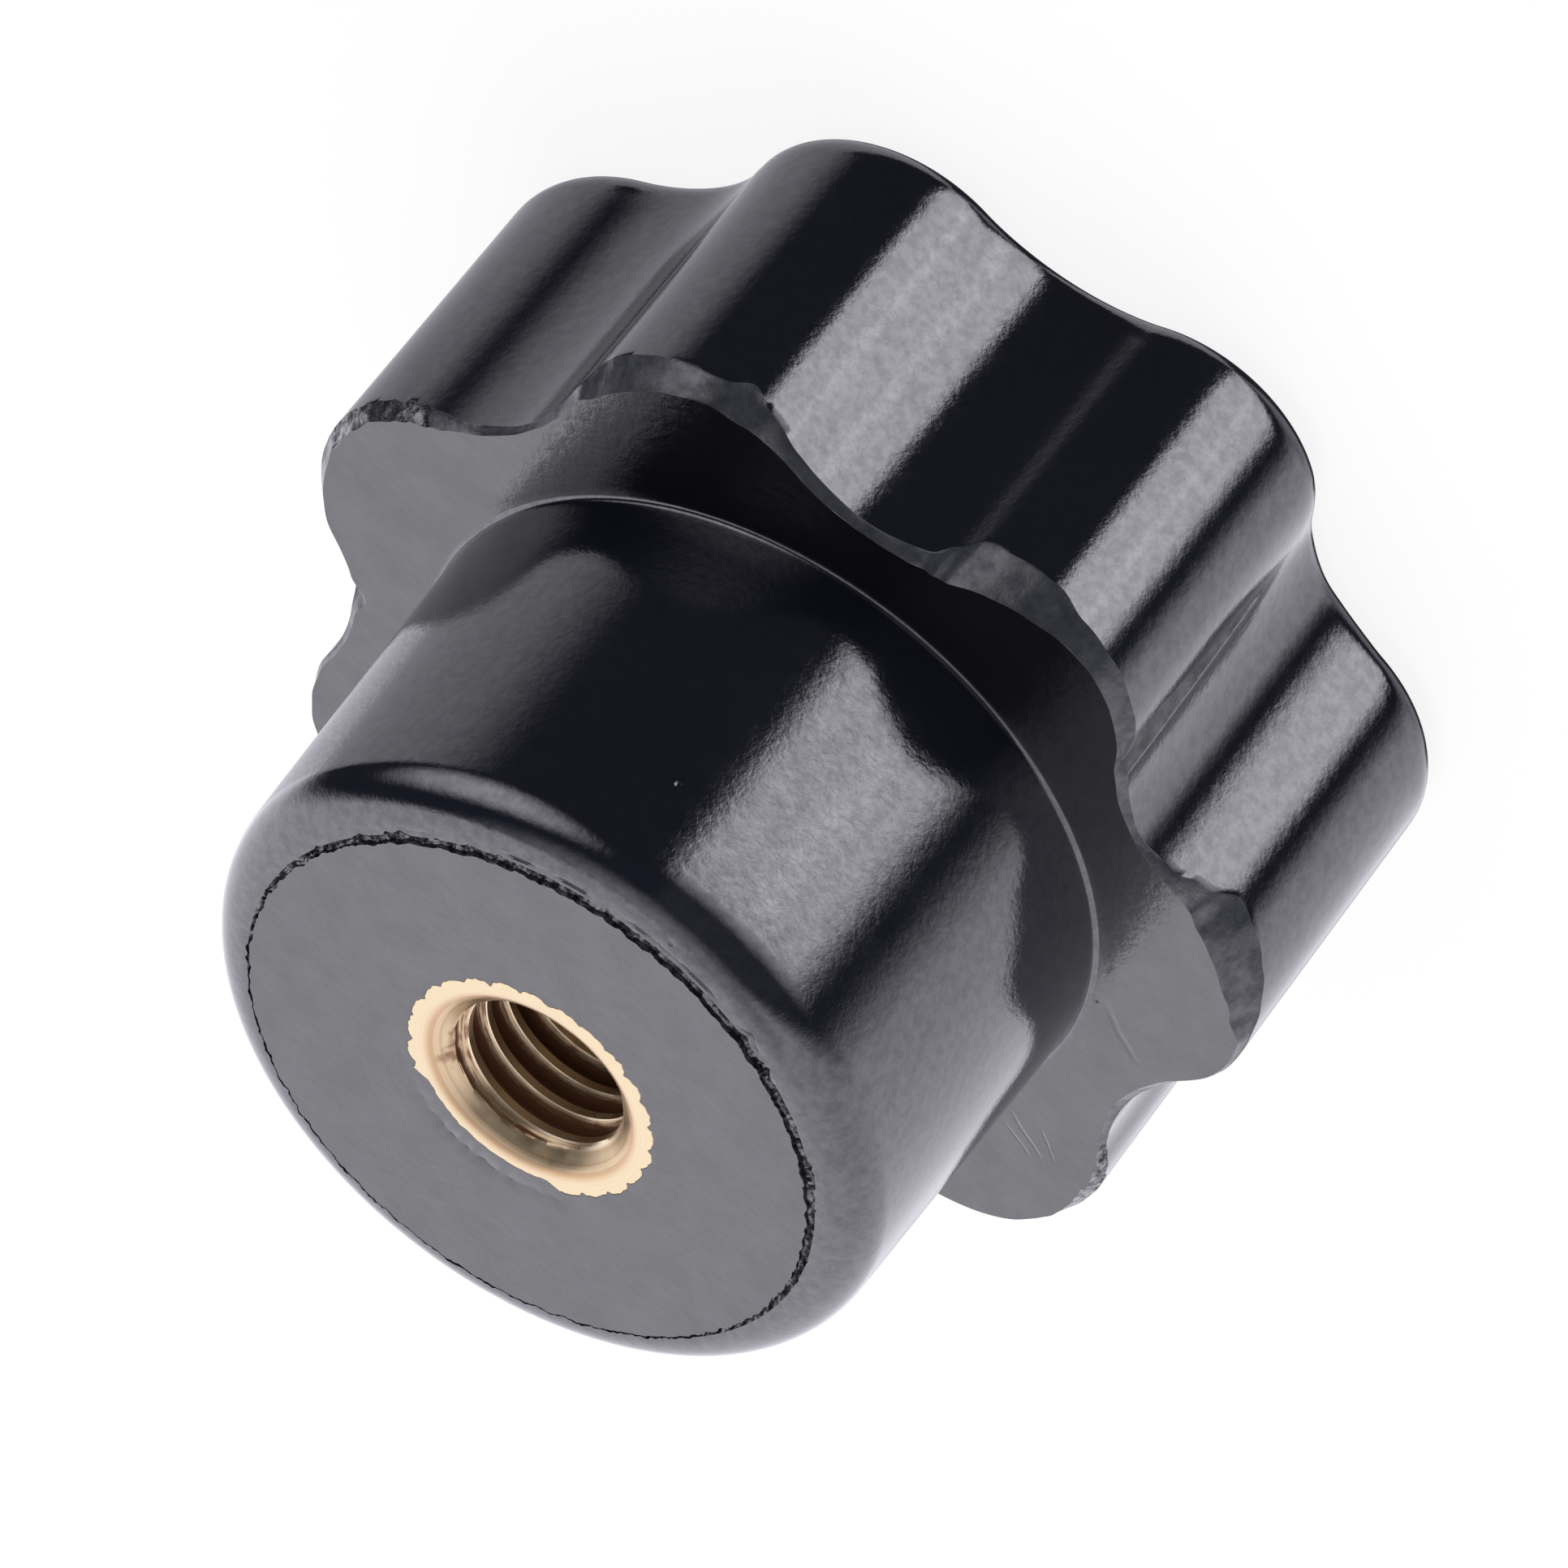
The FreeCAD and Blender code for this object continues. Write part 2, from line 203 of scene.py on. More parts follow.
class Skin:
    """Closed surface made of rings of points round the axis, from one pole to the other."""

    def __init__(self, angles):
        self.angles = angles
        self.radii = []
        self.heights = []
        self.finishes = []

    def ring(self, radius, height, finish=0):
        """Next ring, with the finish of the strip that leads to it."""
        flat = np.zeros_like(self.angles)
        self.radii.append(radius + flat)
        self.heights.append(height + flat)
        self.finishes.append(finish + np.zeros(len(self.angles), dtype=int))

    def points(self):
        radii = np.array(self.radii)
        x = radii * np.cos(self.angles)
        y = radii * np.sin(self.angles)
        return np.stack([x, y, np.array(self.heights)], axis=2)

    def build(self, name, climbing=range(0), climb=0):
        """Mesh in metres. In the climbing rows the last column joins the first one further back."""
        points = self.points()
        rows, columns = points.shape[:2]
        poles = [points[0].mean(axis=0), points[-1].mean(axis=0)]
        vertices = np.vstack([points.reshape(-1, 3), poles]) * MM
        faces = []
        finishes = []
        for row in range(rows - 1):
            for column in range(columns):
                following = (column + 1) % columns
                far = row
                if following == 0 and row in climbing:
                    far = row - climb
                    if far < climbing.start:
                        continue
                faces.append((
                    row * columns + column, far * columns + following,
                    (far + 1) * columns + following, (row + 1) * columns + column,
                ))
                finishes.append(int(self.finishes[row + 1][column]))
        first, last = rows * columns, rows * columns + 1
        end = (rows - 1) * columns
        for column in range(columns):
            following = (column + 1) % columns
            faces.append((first, following, column))
            faces.append((last, end + column, end + following))
            finishes.append(int(self.finishes[0][column]))
            finishes.append(int(self.finishes[-1][column]))
        mesh = bpy.data.meshes.new(name)
        mesh.from_pydata(vertices.tolist(), [], faces)
        mesh.polygons.foreach_set("material_index", finishes)
        return mesh


def finish_mesh(mesh, name, materials, sharp):
    """Object with smooth shading up to an angle, without doubled points."""
    obj = bpy.data.objects.new(name, mesh)
    bpy.context.scene.collection.objects.link(obj)
    for material in materials:
        mesh.materials.append(material)
    cleaner = bmesh.new()
    cleaner.from_mesh(mesh)
    bmesh.ops.remove_doubles(cleaner, verts=cleaner.verts, dist=0.0005 * MM)
    bmesh.ops.dissolve_degenerate(cleaner, edges=cleaner.edges, dist=0.0002 * MM)
    cleaner.to_mesh(mesh)
    cleaner.free()
    mesh.polygons.foreach_set("use_smooth", [True] * len(mesh.polygons))
    mesh.set_sharp_from_angle(angle=math.radians(sharp))
    mesh.update()
    return obj


def torn_edge(angles):
    """Where the filed corner crumbled: 1 in the middle of such a place."""
    return np.maximum(near_angle(angles, -6, 16), 0.8 * near_angle(angles, 165, 14))


def filed_edge(angles):
    """Width and height of the filed corner at each angle, eased from one measured place to the next."""
    where, width, height = (list(column) for column in zip(*FILED_EDGE))
    degrees = (np.degrees(angles) - where[0]) % 360 + where[0]
    place = np.interp(degrees, where + [where[0] + 360], np.arange(len(where) + 1))
    first = place.astype(int)
    share = smooth_step(0, 1, place - first)
    torn = torn_edge(angles)
    sizes = []
    for size, seed in ((width, 11), (height, 13)):
        size = np.array(size + size[:2])
        eased = size[first] * (1 - share) + size[first + 1] * share
        waves = 0.015 * ripple(angles, seed, 20, 90) + 0.06 * torn * ripple(angles, seed + 1, 60, 200)
        sizes.append(np.maximum(eased + waves, 0.05))
    return sizes


def wall_radius(angles, height):
    """Head's wall at a height, with the gouge: a flat floor that meets the wall at its lower edge."""
    outline = head_outline(angles, 0) - draft_inset(height)
    degrees = np.degrees(angles) - 360
    along = np.clip((GOUGE_TOP - height) / (GOUGE_TOP - GOUGE_TIP), 0, 1)
    upper = GOUGE_UPPER[0] + (GOUGE_UPPER[1] - GOUGE_UPPER[0]) * along**1.15
    lower = GOUGE_LOWER[0] + (GOUGE_LOWER[1] - GOUGE_LOWER[0]) * along**2
    meeting = head_outline(np.radians(lower + 360), 0) - draft_inset(height)
    reach = meeting * np.cos(np.radians(lower - GOUGE_FACING))
    floor = reach / np.cos(np.radians(np.clip(degrees, -125, -110) - GOUGE_FACING))
    deepest = 0.28 + 0.35 * smooth_step(0.05, 0.3, along)
    cut = np.clip(outline - floor, 0, deepest)
    return outline - cut * ((degrees > lower) & (degrees < upper) & (along < 1))


def draft_inset(height):
    """How far the head's wall has come in at a height, below the underside."""
    return (-HUB_LENGTH - height) * math.tan(math.radians(HEAD_DRAFT))


def add_head_rings(skin):
    """Outer face, rounded edge, wall, filed corner and underside of the head."""
    angles = skin.angles
    lean = math.radians(HEAD_DRAFT)
    valley = (HEAD_RADIUS - head_outline(angles, 0)) / (HEAD_RADIUS - VALLEY_REACH + VALLEY_RADIUS)
    edge = HEAD_EDGE + (VALLEY_EDGE - HEAD_EDGE) * np.clip(valley, 0, 1)
    centre_height = -KNOB_HEIGHT + edge
    foot = centre_height - edge * math.sin(lean)
    centre_inset = draft_inset(foot) + edge * math.cos(lean)
    rim = head_outline(angles, centre_inset)
    for share in (0.05, 0.4, 0.75, 1.0):
        skin.ring(rim * share, -KNOB_HEIGHT, GLOSS)
    for turn in np.linspace(90, HEAD_DRAFT, 13)[1:]:
        turn = math.radians(turn)
        inset = centre_inset - edge * math.cos(turn)
        skin.ring(head_outline(angles, inset), centre_height - edge * math.sin(turn), GLOSS)

    width, corner = filed_edge(angles)
    wall_top = -HUB_LENGTH - corner
    for share in np.linspace(0, 1, 37)[1:]:
        height = foot + (wall_top - foot) * share
        wall = wall_radius(angles, height)
        plain = head_outline(angles, 0) - draft_inset(height)
        skin.ring(wall, height, np.where(wall < plain - 0.01, FILED, GLOSS))
    wall = skin.radii[-1]
    face = np.minimum(head_outline(angles, 0) - width, wall - 0.03)
    finish = np.where(torn_edge(angles) > 0.5, BROKEN, FILED)
    for share in (0.08, 0.36, 0.64, 0.92, 1.0):
        dip = 0.008 * (1 + ripple(angles, int(20 + 10 * share), 15, 60)) * (share < 1)
        height = wall_top + (-HUB_LENGTH - wall_top) * share
        skin.ring(wall + (face - wall) * share - dip, height - dip * 0.5, finish)

    root = HUB_RADIUS + HUB_LENGTH * math.tan(math.radians(HUB_DRAFT)) + HUB_ROOT
    for share in np.linspace(0, 1, 13)[1:]:
        skin.ring(face + (root - face) * share, -HUB_LENGTH, GROUND)


def add_hub_rings(skin):
    """Root fillet, side and rounded end of the hub, up to the ground end face."""
    angles = skin.angles
    lean = math.radians(HUB_DRAFT)
    root_centre = HUB_RADIUS + HUB_LENGTH * math.tan(lean) + HUB_ROOT
    for turn in np.linspace(0, 89, 7)[1:]:
        turn = math.radians(turn)
        skin.ring(
            root_centre - HUB_ROOT * math.sin(turn),
            -HUB_LENGTH + HUB_ROOT * (1 - math.cos(turn)), GLOSS,
        )
    low = skin.heights[-1][0]
    edge_low = -HUB_EDGE
    for share in np.linspace(0, 1, 12)[1:]:
        height = low + (edge_low - low) * share
        skin.ring(HUB_RADIUS - height * math.tan(lean), height, GLOSS)

    centre = HUB_RADIUS - edge_low * math.tan(lean) - HUB_EDGE
    ring, gap = end_ring(angles)
    last = np.arccos(np.clip((ring + gap - centre) / HUB_EDGE, 0, 1))
    second = 0.04 * near_angle(angles, -80, 85) * np.clip(0.5 + ripple(angles, 37, 5, 36), 0, 1)
    for share in np.append(np.linspace(0, 0.86, 13)[1:], (0.90, 0.93, 0.96, 1.0)):
        turn = last * share
        height = edge_low + HUB_EDGE * np.sin(turn) - second * (share == 0.93)
        skin.ring(centre + HUB_EDGE * np.cos(turn), height, GLOSS)
    outer_height = skin.heights[-1]

    depth = 0.03 + 0.05 * np.abs(ripple(angles, 31, 30, 200)) + 0.4 * gap
    uneven = 0.25 * gap * ripple(angles, 32, 60, 260)
    skin.ring(ring + gap * 0.85, outer_height - depth * 0.8, BROKEN)
    skin.ring(ring + gap * 0.5 + uneven, -depth, BROKEN)
    skin.ring(ring + gap * 0.12, -depth * 0.7, BROKEN)
    skin.ring(ring, 0, BROKEN)


def end_ring(angles):
    """Where the ground end face stops, and the width of the broken line outside it."""
    rise = np.sin(angles)
    ring = END_FACE_RADIUS + 0.2 * rise + 0.04 * ripple(angles, 33, 14, 110)
    ring = ring + 0.02 * ripple(angles, 36, 90, 300)
    camera_side = smooth_step(0.3, -0.8, rise)
    gap = 0.05 + 0.24 * camera_side + (0.03 + 0.09 * camera_side) * ripple(angles, 34, 10, 60)
    gap = gap + 0.03 * ripple(angles, 35, 70, 260)
    return ring, np.clip(gap, 0.03, 0.42)


def add_end_rings(skin):
    """Ground end face, the lip over the bush, and the bush's seat down to its floor."""
    angles = skin.angles
    knurl = knurl_outline(angles)
    covered = lip_covers(angles)
    inner = np.where(covered, lip_edge(angles, 0), knurl)
    outer = skin.radii[-1]
    trace = BUSH_RADIUS + 0.2 + 0.05 * ripple(angles, 41, 12, 50)
    for share in np.linspace(0, 1, 10)[1:]:
        skin.ring(outer + (trace - outer) * share, 0, GROUND)
    groove = 0.016 * near_angle(angles, 92, 62) * (1 + 0.6 * ripple(angles, 42, 12, 60))
    skin.ring(trace - 0.05, -np.maximum(groove, 0), GROUND)
    skin.ring(trace - 0.11, 0, GROUND)
    step = 0.01
    skin.ring(inner + step, 0, GROUND)
    skin.ring(inner, -step, GROUND)
    lip_foot = np.where(covered, lip_edge(angles, LIP_DEPTH), knurl)
    skin.ring(lip_foot, np.where(covered, -LIP_DEPTH, -step * 2), GROUND)
    skin.ring(knurl, np.where(covered, -LIP_DEPTH, -step * 3), GROUND)
    skin.ring(knurl, -BUSH_LENGTH, GROUND)
    skin.ring(knurl * 0.5, -BUSH_LENGTH, GROUND)
    skin.ring(knurl * 0.02, -BUSH_LENGTH, GROUND)


def make_body(materials):
    skin = Skin(ANGLES)
    add_head_rings(skin)
    add_hub_rings(skin)
    add_end_rings(skin)
    return finish_mesh(skin.build("knob_body_moulding"), "knob_body_moulding", materials, 32)


def thread_radius(turn_share):
    """Radius of an internal thread at a share of its pitch, 0 at the middle of a crest."""
    away = np.abs((turn_share + 0.5) % 1 - 0.5)
    flank = np.clip((away - 1 / 8) / (7 / 16 - 1 / 8), 0, 1)
    return THREAD_MINOR + (THREAD_MAJOR - THREAD_MINOR) * smooth_flank(flank)


def smooth_flank(flank):
    """Straight flank with slightly eased ends."""
    eased = smooth_step(0, 1, flank)
    return 0.75 * flank + 0.25 * eased


def make_insert(materials):
    """Knurled bush: outer wall, end face, countersink, thread along its helix and drill point."""
    angles = BUSH_ANGLES
    skin = Skin(angles)
    knurl = knurl_outline(angles)
    covered = lip_covers(angles)
    for share in (0.02, 0.5, 1.0):
        skin.ring(knurl * share, -BUSH_LENGTH)
    top = np.where(covered, -LIP_DEPTH, 0.0)
    bevel = 0.015
    skin.ring(knurl, top - bevel)
    skin.ring(knurl - bevel, top)
    for height, depth, clear in ((top, LIP_DEPTH, 0.03), (0.0, 0, 0.02)):
        edge = np.where(covered, lip_edge(angles, depth), knurl - 2 * bevel)
        skin.ring(np.maximum(edge, MOUTH_RADIUS + MOUTH_EASING + clear), height)
    for share in np.linspace(0, 1, 7):
        skin.ring(MOUTH_RADIUS + MOUTH_EASING * (1 - 2 * share), -MOUTH_EASING * share**2)

    rows = int(math.ceil((BORE_DEPTH / PITCH + 1) * ROWS_A_TURN)) + 1
    turned = (angles - angles[0]) / (2 * math.pi)
    root = [np.zeros_like(angles)] * len(skin.radii)
    for row in range(rows):
        share = row / ROWS_A_TURN
        height = np.clip((turned - share) * PITCH, -BORE_DEPTH, -MOUTH_EASING)
        ends = smooth_step(-THREAD_END, -THREAD_END + THREAD_RUNOUT, height)
        ends = ends * smooth_step(*THREAD_ENTRY, height)
        cut = (thread_radius(share) - THREAD_MINOR) * ends
        mouth = MOUTH_RADIUS + height
        radius = np.maximum(THREAD_MINOR + cut, mouth)
        skin.ring(radius, height)
        root.append(np.where(radius > mouth, cut / (THREAD_MAJOR - THREAD_MINOR), 0))
    thread_start = len(skin.radii) - rows
    tip = BORE_DEPTH + THREAD_MINOR / math.tan(math.radians(DRILL_ANGLE / 2))
    skin.ring(THREAD_MINOR * 0.5, -(BORE_DEPTH + tip) / 2)
    skin.ring(THREAD_MINOR * 0.02, -tip)
    root += [np.zeros_like(angles)] * 2

    thread_rows = range(thread_start, thread_start + rows - 1)
    mesh = skin.build("threaded_insert_bush", thread_rows, ROWS_A_TURN)
    layer = mesh.attributes.new("root", "FLOAT", "POINT")
    layer.data.foreach_set("value", np.append(np.array(root).ravel(), [0, 0]))
    return finish_mesh(mesh, "threaded_insert_bush", materials, 28)


class Nodes:
    """Short way to add and join the nodes of a material or of the world."""

    def __init__(self, tree):
        self.tree = tree
        tree.nodes.clear()

    def add(self, kind, settings=None, **inputs):
        node = self.tree.nodes.new(kind)
        for name, value in (settings or {}).items():
            setattr(node, name, value)
        for name, value in inputs.items():
            self.feed(node, name, value)
        return node

    def feed(self, node, name, value):
        key = int(name[1:]) if name[0] == "i" and name[1:].isdigit() else name.replace("_", " ")
        socket = node.inputs[key]
        if isinstance(value, bpy.types.NodeSocket):
            self.tree.links.new(value, socket)
        elif isinstance(value, bpy.types.Node):
            self.tree.links.new(value.outputs[0], socket)
        else:
            socket.default_value = value

    def math(self, operation, first, second=0.0, third=0.0):
        return self.add("ShaderNodeMath", {"operation": operation}, i0=first, i1=second, i2=third)

    def range(self, value, low, high, start=0.0, end=1.0, smooth=True):
        kind = "SMOOTHSTEP" if smooth else "LINEAR"
        return self.add(
            "ShaderNodeMapRange", {"interpolation_type": kind},
            i0=value, i1=low, i2=high, i3=start, i4=end,
        )

    def noise(self, place, scale, detail=2.0, rough=0.5):
        return self.add("ShaderNodeTexNoise", Vector=place, Scale=scale, Detail=detail, Roughness=rough)

    def blend_value(self, share, first, second):
        return self.add("ShaderNodeMix", {"data_type": "FLOAT"}, i0=share, i2=first, i3=second)

    def blend(self, share, first, second):
        return self.add(
            "ShaderNodeMix", {"data_type": "RGBA"}, i0=share, i6=first, i7=second
        ).outputs[2]


def new_material(name):
    material = bpy.data.materials.new(name)
    material.use_nodes = True
    nodes = Nodes(material.node_tree)
    place = nodes.add("ShaderNodeTexCoord").outputs["Object"]
    shader = nodes.add("ShaderNodeBsdfPrincipled")
    output = nodes.add("ShaderNodeOutputMaterial")
    nodes.feed(output, "Surface", shader)
    return material, nodes, place, shader


# Refractive index of the black finishes, a little above the resin's own for their strong gloss.
PHENOLIC_INDEX = 1.93

# Marks scored in the head's underside: where each starts and ends, and how wide it is.
SCRATCHES = [
    ((-8.44, -2.77), (-10.31, -1.54), 0.14), ((-8.20, -2.60), (-8.55, -2.40), 0.12),
    ((-8.75, 2.80), (-10.40, 3.60), 0.06), ((-8.90, 3.30), (-10.10, 3.75), 0.05),
    ((-9.60, 2.60), (-10.60, 3.30), 0.05),
]


def gloss_material():
    """Polished black phenolic: a slight orange peel, fine grain and a few pits."""
    material, nodes, place, shader = new_material("black_phenolic_gloss")
    tint = nodes.noise(place, 260.0, 3.0)
    colour = nodes.blend(tint, (0.0034, 0.0036, 0.0086, 1), (0.0054, 0.0057, 0.0122, 1))
    nodes.feed(shader, "Base_Color", colour)
    shader.inputs["IOR"].default_value = PHENOLIC_INDEX
    haze = nodes.noise(place, 1500.0, 4.0, 0.6)
    nodes.feed(shader, "Roughness", nodes.range(haze, 0.3, 0.75, 0.06, 0.12))
    scuff = nodes.noise(place, 3600.0, 5.0, 0.7)
    nodes.feed(shader, "Specular_IOR_Level", nodes.range(scuff, 0.3, 0.7, 0.41, 0.60))
    wave = nodes.noise(place, 500.0, 2.0)
    grain = nodes.noise(place, 5200.0, 4.0, 0.65)
    peel = nodes.add("ShaderNodeBump", Strength=1.0, Distance=0.006 * MM, Height=wave)
    fine = nodes.add("ShaderNodeBump", Strength=1.0, Distance=0.0060 * MM, Height=grain, Normal=peel)
    cells = nodes.add("ShaderNodeTexVoronoi", Vector=place, Scale=620.0)
    pit = nodes.range(cells.outputs["Distance"], 0.03, 0.07)
    rare = nodes.math("GREATER_THAN", nodes.noise(place, 430.0), 0.60)
    hole = nodes.math("MULTIPLY", nodes.math("SUBTRACT", 1.0, pit), rare)
    dot = nodes.add(
        "ShaderNodeBump", {"invert": True}, Strength=1.0, Distance=0.02 * MM, Height=hole, Normal=fine
    )
    nodes.feed(shader, "Normal", dot)
    return material


def ground_material():
    """Phenolic ground to a fine semi-matt, with the wheel's faint scratches."""
    material, nodes, place, shader = new_material("black_phenolic_ground")
    patch = nodes.noise(place, 420.0, 4.0, 0.6)
    colour = nodes.blend(patch, (0.0022, 0.0022, 0.0034, 1), (0.0046, 0.0044, 0.0054, 1))
    nodes.feed(shader, "Base_Color", colour)
    shader.inputs["IOR"].default_value = PHENOLIC_INDEX
    stretched = nodes.add(
        "ShaderNodeMapping", Vector=place, Rotation=(0, 0, math.radians(-35)), Scale=(0.06, 1.0, 1.0)
    )
    scratch = nodes.noise(stretched, 9000.0, 3.0, 0.7)
    dull = nodes.noise(place, 3600.0, 4.0, 0.65)
    nodes.feed(shader, "Roughness", nodes.range(dull, 0.3, 0.7, 0.08, 0.14))
    shine = nodes.noise(place, 800.0, 5.0, 0.65)
    nodes.feed(shader, "Specular_IOR_Level", nodes.range(shine, 0.3, 0.7, 0.43, 0.50))
    lines = nodes.add("ShaderNodeBump", Strength=1.0, Distance=0.0012 * MM, Height=scratch)
    speckle = nodes.add(
        "ShaderNodeBump", Strength=1.0, Distance=0.010 * MM, Height=dull, Normal=lines
    )
    marks = 0.0
    for start, end, width in SCRATCHES:
        marks = nodes.math("MAXIMUM", marks, scratch_mark(nodes, place, start, end, width))
    cut = nodes.add(
        "ShaderNodeBump", {"invert": True}, Strength=1.0, Distance=0.014 * MM, Height=marks,
        Normal=speckle,
    )
    nodes.feed(shader, "Normal", cut)
    return material


def scratch_mark(nodes, place, start, end, width):
    """1 along a straight mark on the underside, from start to end, fading over its width."""
    start = Vector((*start, 0)) * MM
    along = Vector((*end, 0)) * MM - start
    length = along.length
    along.normalize()
    across = Vector((-along.y, along.x, 0))
    offset = nodes.add("ShaderNodeVectorMath", {"operation": "SUBTRACT"}, i0=place, i1=start)
    waver = nodes.math("MULTIPLY_ADD", nodes.noise(place, 900.0), 0.25 * MM, -0.125 * MM)
    aside = nodes.math("ABSOLUTE", nodes.math("ADD", dot_with(nodes, offset, across), waver))
    line = nodes.range(aside, 0.0, width * MM, 1.0, 0.0)
    reach = dot_with(nodes, offset, along)
    span = nodes.math(
        "MULTIPLY", nodes.range(reach, 0.0, 0.3 * length), nodes.range(reach, length, 0.7 * length)
    )
    return nodes.math("MULTIPLY", line, span)


def filed_material():
    """Flats left by the file on the head's corner: duller than the ground face."""
    material, nodes, place, shader = new_material("black_phenolic_filed")
    patch = nodes.noise(place, 900.0, 4.0, 0.65)
    colour = nodes.blend(patch, (0.0060, 0.0072, 0.0110, 1), (0.0300, 0.0325, 0.0420, 1))
    nodes.feed(shader, "Base_Color", colour)
    shader.inputs["IOR"].default_value = PHENOLIC_INDEX
    rough = nodes.noise(place, 3000.0, 4.0, 0.65)
    nodes.feed(shader, "Roughness", nodes.range(rough, 0.3, 0.7, 0.28, 0.42))
    scrape = nodes.noise(place, 1800.0, 5.0, 0.7)
    nodes.feed(shader, "Specular_IOR_Level", nodes.range(scrape, 0.35, 0.65, 0.20, 0.42))
    relief = nodes.add("ShaderNodeBump", Strength=1.0, Distance=0.018 * MM, Height=rough)
    nodes.feed(shader, "Normal", relief)
    return material


def broken_material():
    """Rough fracture along the chipped edge."""
    material, nodes, place, shader = new_material("black_phenolic_broken")
    crumbs = nodes.noise(place, 5200.0, 4.0, 0.7)
    colour = nodes.blend(crumbs, (0.0020, 0.0020, 0.0030, 1), (0.0100, 0.0095, 0.0110, 1))
    nodes.feed(shader, "Base_Color", colour)
    shader.inputs["IOR"].default_value = PHENOLIC_INDEX
    nodes.feed(shader, "Roughness", nodes.range(crumbs, 0.3, 0.7, 0.42, 0.18))
    nodes.feed(shader, "Specular_IOR_Level", nodes.range(crumbs, 0.42, 0.62, 0.06, 0.75))
    relief = nodes.add("ShaderNodeBump", Strength=1.0, Distance=0.02 * MM, Height=crumbs)
    nodes.feed(shader, "Normal", relief)
    return material


def brass_material():
    """Pale turned brass, darker and browner towards the thread's roots, with a painted highlight along
    the thread's crests.
    """
    material, nodes, place, shader = new_material("brass_turned")
    root = nodes.add("ShaderNodeAttribute", {"attribute_name": "root"}).outputs["Fac"]
    cloud = nodes.noise(place, 1500.0, 4.0, 0.6)
    brass_tone = nodes.blend(cloud, (0.565, 0.462, 0.300, 1), (0.685, 0.582, 0.392, 1))
    streak = nodes.noise(place, 2600.0, 3.0, 0.6)
    parts = nodes.add("ShaderNodeSeparateXYZ", Vector=place)
    squares = (nodes.math("POWER", parts.outputs[axis], 2.0) for axis in (0, 1))
    radius = nodes.math("SQRT", nodes.math("ADD", *squares))
    climb = nodes.math("MULTIPLY_ADD", root, 9.0, nodes.math("MULTIPLY", parts.outputs[2], 700.0))
    side = nodes.math("MULTIPLY", parts.outputs[0], 900.0)
    front = nodes.math("MULTIPLY", parts.outputs[1], 900.0)
    turns = nodes.add("ShaderNodeCombineXYZ", X=climb, Y=side, Z=front)
    tapped = nodes.math("MULTIPLY", nodes.math("SUBTRACT", nodes.noise(turns, 1.0, 3.0, 0.6), 0.5), 1.6)
    mottle = nodes.math("MULTIPLY_ADD", nodes.math("SUBTRACT", streak, 0.5), 0.5, tapped)
    bored = nodes.range(radius, (MOUTH_RADIUS - 0.15) * MM, (MOUTH_RADIUS + 0.05) * MM, 1.0, 0.0)
    # Darker, browner and less metallic towards the thread's roots inside the bore, mottled in streaks
    # along the helix.
    root_darkening = nodes.range(nodes.math("ADD", root, mottle), 0.12, 0.42)
    root_darkening = nodes.math("MULTIPLY", root_darkening, bored)
    across = nodes.add("ShaderNodeCombineXYZ", X=radius, Y=parts.outputs[2], Z=0.0)
    turned = nodes.range(nodes.noise(across, 8000.0, 4.0, 0.7), 0.42, 0.66, 0.30, 0.80)
    inside = nodes.range(radius, MOUTH_RADIUS * MM, (MOUTH_RADIUS + 0.2) * MM, 1.0, 0.15)
    brass_tone = nodes.blend(nodes.math("MULTIPLY", turned, inside), brass_tone, (0.430, 0.262, 0.140, 1))
    # Pale colour on the thread's crests and the foot of the countersink is a painted highlight, not the
    # brass's own colour.
    crest_highlight_band = nodes.range(radius, (THREAD_MINOR + 0.05) * MM, (THREAD_MINOR + 0.15) * MM, 1.0, 0.0)
    crest = nodes.math("MULTIPLY", crest_highlight_band, nodes.range(root, 0.0, 0.10, 1.0, 0.0))
    brass_tone = nodes.blend(crest, brass_tone, (0.930, 0.780, 0.560, 1))
    colour = nodes.blend(root_darkening, brass_tone, (0.180, 0.075, 0.036, 1))
    nodes.feed(shader, "Base_Color", colour)
    nodes.feed(shader, "Metallic", nodes.range(root_darkening, 0.0, 1.0, 1.0, 0.45, smooth=False))
    nodes.feed(shader, "Roughness", nodes.range(cloud, 0.3, 0.7, 0.28, 0.40))
    lathe = nodes.noise(across, 16000.0, 2.0, 0.6)
    pores = nodes.noise(place, 7000.0, 3.0, 0.6)
    rings = nodes.add("ShaderNodeBump", Strength=0.7, Distance=0.0015 * MM, Height=lathe)
    grain = nodes.add("ShaderNodeBump", Strength=0.8, Distance=0.0020 * MM, Height=pores, Normal=rings)
    nodes.feed(shader, "Normal", grain)
    return material


# Level of all the studio's panels together, and what the darkest part of the studio gives.
PANEL_LEVEL = 0.56
DARK_LEVEL = 0.07


